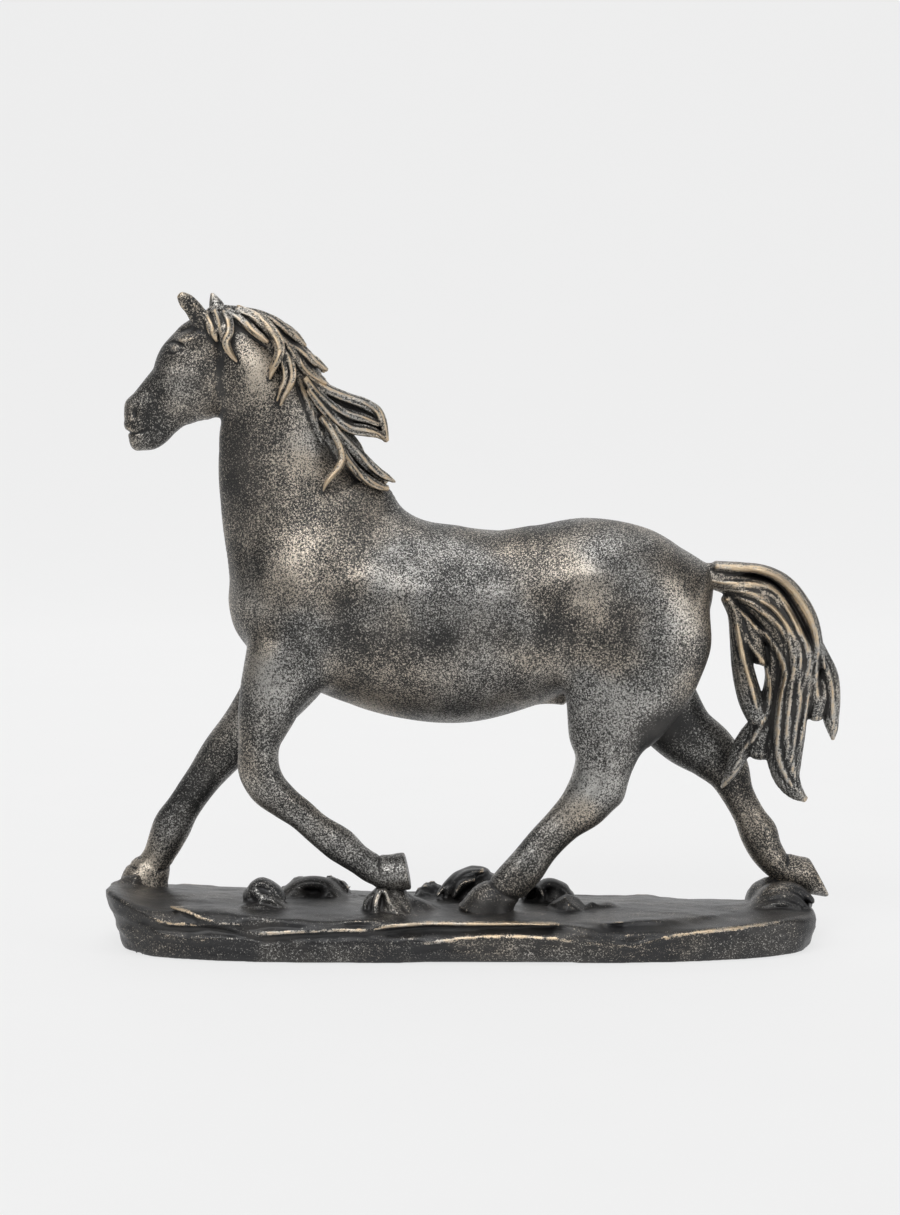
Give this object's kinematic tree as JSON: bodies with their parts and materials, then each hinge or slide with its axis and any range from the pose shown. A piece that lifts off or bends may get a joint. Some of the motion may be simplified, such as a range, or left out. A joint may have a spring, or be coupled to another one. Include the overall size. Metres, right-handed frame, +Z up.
{
  "type": "horse statuette",
  "caption": "Striding horse figurine with a flying mane and tail, standing on a long rocky ground base with a felt underside.",
  "frame": {"origin": "centre of the felt's underside, on the surface that the statuette stands on", "axes": "+X from the horse's head to its tail, +Y to the horse's off (right) side, +Z up"},
  "size_m": [0.2913, 0.0904, 0.2604],
  "materials": {
    "bronze_finish": "satin",
    "ground_finish": "satin",
    "steel_pin": "satin",
    "felt": "matte"
  },
  "bodies": {
    "root": {"torso": "bronze_finish", "neck": "bronze_finish", "head": "bronze_finish", "near_fore_leg": "bronze_finish", "off_fore_leg": "bronze_finish", "near_hind_leg": "bronze_finish", "off_hind_leg": "bronze_finish", "tail": "bronze_finish", "mane_lock_upper": "bronze_finish", "mane_lock_lower": "bronze_finish", "ground_base": "ground_finish", "base_felt": "felt", "neck_dowel": "steel_pin", "head_dowel": "steel_pin", "tail_dowel": "steel_pin", "near_shoulder_dowel": "steel_pin", "off_shoulder_dowel": "steel_pin", "near_hip_dowel": "steel_pin", "off_hip_dowel": "steel_pin", "upper_lock_dowel": "steel_pin", "lower_lock_dowel": "steel_pin", "near_fore_hoof_pin": "steel_pin", "off_fore_hoof_pin": "steel_pin", "near_hind_hoof_pin": "steel_pin", "off_hind_hoof_pin": "steel_pin"}
  },
  "joints": []
}
